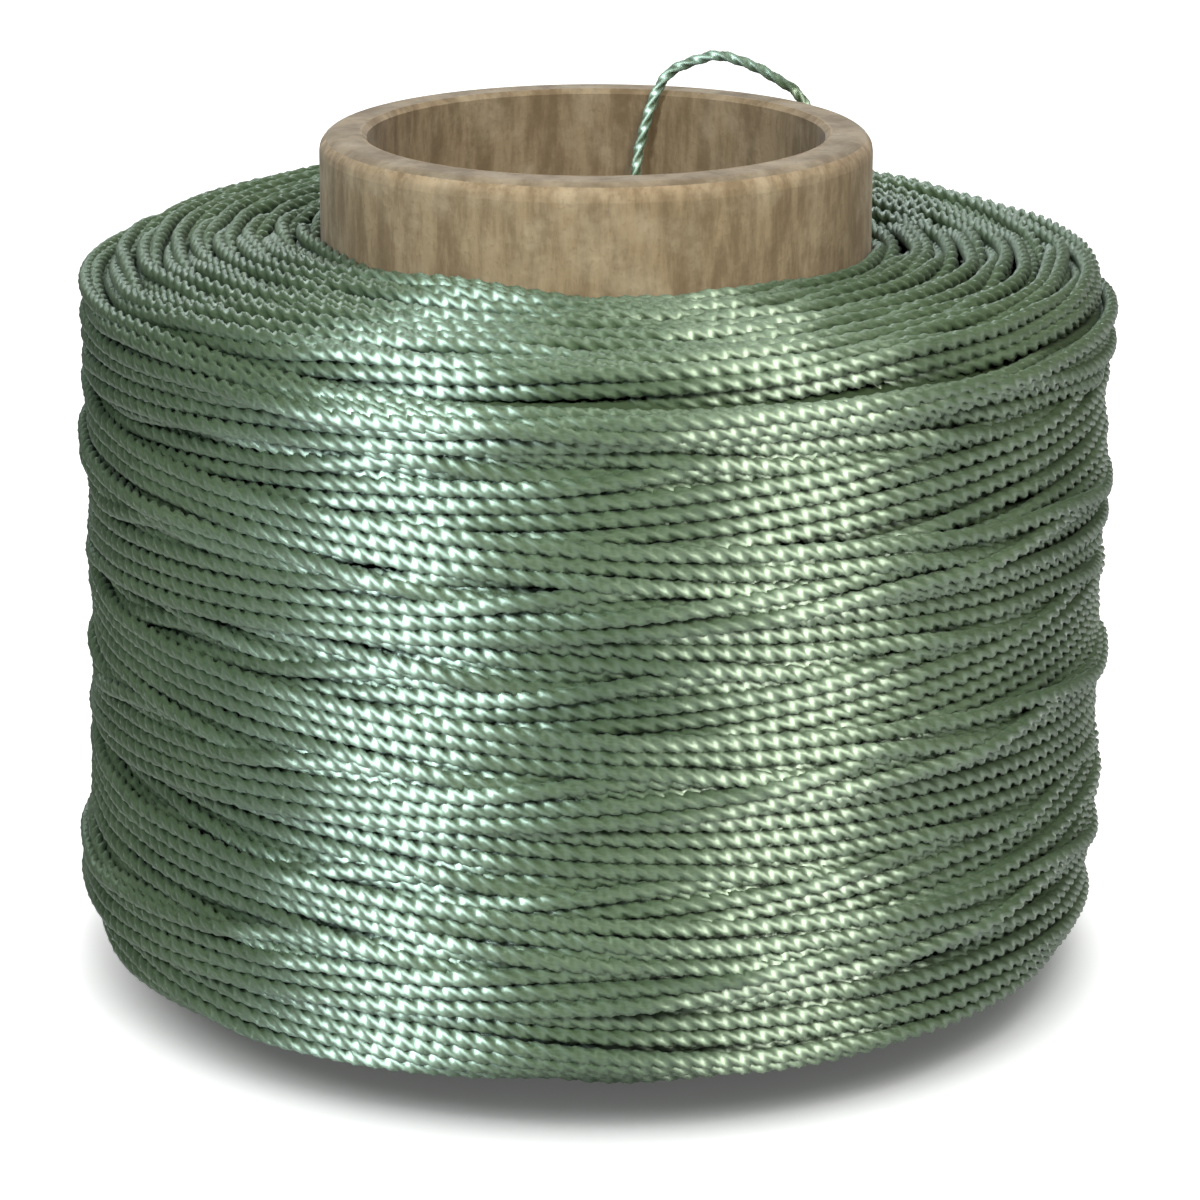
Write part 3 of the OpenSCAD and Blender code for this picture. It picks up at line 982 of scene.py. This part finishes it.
def add_lamps(scene, groups):
    """The lamps, each of which faces the spool."""
    for name, azimuth, elevation, distance, size, power, colour, lit, counts in LAMPS:
        data = bpy.data.lights.new(name, "AREA")
        data.shape = "RECTANGLE"
        data.size, data.size_y = size
        data.energy = power
        data.color = colour
        lamp = bpy.data.objects.new(name, data)
        scene.collection.objects.link(lamp)
        a, e = math.radians(azimuth), math.radians(elevation)
        away = Vector((math.sin(a) * math.cos(e), -math.cos(a) * math.cos(e), math.sin(e)))
        lamp.location = LAMPS_AIM + away * distance
        lamp.rotation_euler = away.to_track_quat("Z", "Y").to_euler()
        lamp.visible_diffuse, lamp.visible_glossy = map(bool, counts)
        if lit:
            lamp.light_linking.receiver_collection = groups[lit]


def add_world(scene):
    """Soft light from all round, and plain white where the camera or glass sees it."""
    world = bpy.data.worlds.new("studio")
    scene.world = world
    world.use_nodes = True
    tree = world.node_tree
    background = tree.nodes["Background"]
    background.inputs["Color"].default_value = WHITE
    rays = tree.nodes.new("ShaderNodeLightPath")
    seen = maths(tree, "MAXIMUM", rays.outputs["Is Camera Ray"],
                 rays.outputs["Is Transmission Ray"])
    tree.links.new(ramp(tree, seen, 0.0, 1.0, WORLD_LIGHT, 1.0), background.inputs["Strength"])


# ---------------------------------------------------------------- operators

class SPOOL_OT_camera(bpy.types.Operator):
    """Places the camera"""

    bl_idname = "spool.camera"
    bl_label = "Camera"

    def execute(self, context):
        data = bpy.data.cameras.new("camera")
        camera = bpy.data.objects.new("camera", data)
        context.scene.collection.objects.link(camera)
        camera.location = CAMERA_PLACE
        camera.rotation_euler = (math.pi / 2 - CAMERA_TILT, 0, 0)
        data.sensor_width = CAMERA_SENSOR
        data.lens = CAMERA_LENS
        data.shift_x = CAMERA_SHIFT
        data.clip_start, data.clip_end = CAMERA_CLIP
        context.scene.camera = camera
        return {"FINISHED"}


class SPOOL_OT_free_end(bpy.types.Operator):
    """Makes the line's free end, which goes over the rim and hangs in the bore"""

    bl_idname = "spool.free_end"
    bl_label = "Free end"

    def execute(self, context):
        sizes = context.scene.spool_sizes
        path, along = smooth_route(FREE_END_ROUTE, sizes.lay / FREE_RINGS)
        normals = carried_normals(path, EXIT_NORMAL)
        slack = np.clip(along / SLACKENING, 0, 1)[:, None]
        girth = np.array(WOUND_GIRTH) * (1 - slack) + np.array(FREE_GIRTH) * slack
        tail = twisted_line("line_free_end", [(path, normals, along, girth)], sizes.line_d / 2,
                            sizes.lay)
        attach(tail, "root")
        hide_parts("line_tail")
        return {"FINISHED"}


class SPOOL_OT_windings(bpy.types.Operator):
    """Winds the line on the core and makes the lengths of it that show, and one body for the
    turns under them"""

    bl_idname = "spool.windings"
    bl_label = "Windings"

    def execute(self, context):
        sizes = context.scene.spool_sizes
        runs, relief = wound_runs(sizes)
        inner_windings(relief, sizes)
        pieces, rings = [[]], 0
        for run in runs:
            rings += len(run[0])
            if rings > PIECE_RINGS:
                pieces.append([])
                rings = len(run[0])
            pieces[-1].append(run)
        for number, piece_runs in enumerate(pieces, 1):
            piece = twisted_line(f"wound_line_{number}", piece_runs, sizes.line_d / 2, sizes.lay)
            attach(piece, "root")
            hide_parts("outer_turns")
        return {"FINISHED"}


class SPOOL_OT_finishes(bpy.types.Operator):
    """Gives the line and the board their finishes"""

    bl_idname = "spool.finishes"
    bl_label = "Finishes"

    def execute(self, context):
        colours = context.scene.spool_colours
        line = line_material(colours, fibre_group())
        for obj in bpy.data.objects:
            if obj.name.startswith(LINE_PIECES) and obj.name not in frame["nodes"]:
                give_material(obj, line)
        board = board_group()
        wall = board_material("core_wall_board", board, colours, UPRIGHT_FIBRES)
        liner = board_material("core_bore_board", board, colours, UPRIGHT_FIBRES, BORE_TINT)
        rim = board_material("core_rim_board", board, colours, CUT_FIBRES, RIM_TINT)
        for name, node in frame["nodes"].items():
            if name == "core_cover_ply":
                give_material(node, wall)
            elif name == "core_liner_ply":
                give_material(node, liner)
            elif name.startswith("core_body_ply"):
                give_material(node, rim)
        return {"FINISHED"}


class SPOOL_OT_stage(bpy.types.Operator):
    """Makes the pale floor, the lamps and the surroundings"""

    bl_idname = "spool.stage"
    bl_label = "Stage"

    def execute(self, context):
        floor = add_floor()
        add_lamps(context.scene, lit_groups(floor))
        add_world(context.scene)
        context.scene.view_settings.view_transform = "Standard"
        return {"FINISHED"}


OPERATORS = (SPOOL_OT_camera, SPOOL_OT_free_end, SPOOL_OT_windings, SPOOL_OT_finishes,
             SPOOL_OT_stage)


class SPOOL_PT_panel(bpy.types.Panel):
    """Lists the steps that build the spool"""

    bl_idname = "SPOOL_PT_panel"
    bl_label = "Line Spool"
    bl_space_type = "VIEW_3D"
    bl_region_type = "UI"
    bl_category = "Line Spool"

    def draw(self, context):
        for group in (context.scene.spool_sizes, context.scene.spool_colours):
            for name in group.__annotations__:
                self.layout.prop(group, name)
        for operator in OPERATORS:
            self.layout.operator(operator.bl_idname)


CLASSES = (SpoolSizes, SpoolColours, *OPERATORS, SPOOL_PT_panel)


def register():
    """Registers the add-on's classes and its properties."""
    for cls in CLASSES:
        bpy.utils.register_class(cls)
    bpy.types.Scene.spool_sizes = bpy.props.PointerProperty(type=SpoolSizes)
    bpy.types.Scene.spool_colours = bpy.props.PointerProperty(type=SpoolColours)


def unregister():
    """Takes the add-on's properties and classes away again."""
    del bpy.types.Scene.spool_colours
    del bpy.types.Scene.spool_sizes
    for cls in reversed(CLASSES):
        bpy.utils.unregister_class(cls)


def main():
    """Builds the spool."""
    register()
    for operator in OPERATORS:
        group, name = operator.bl_idname.split(".")
        getattr(getattr(bpy.ops, group), name)()


if __name__ == "__main__":
    main()
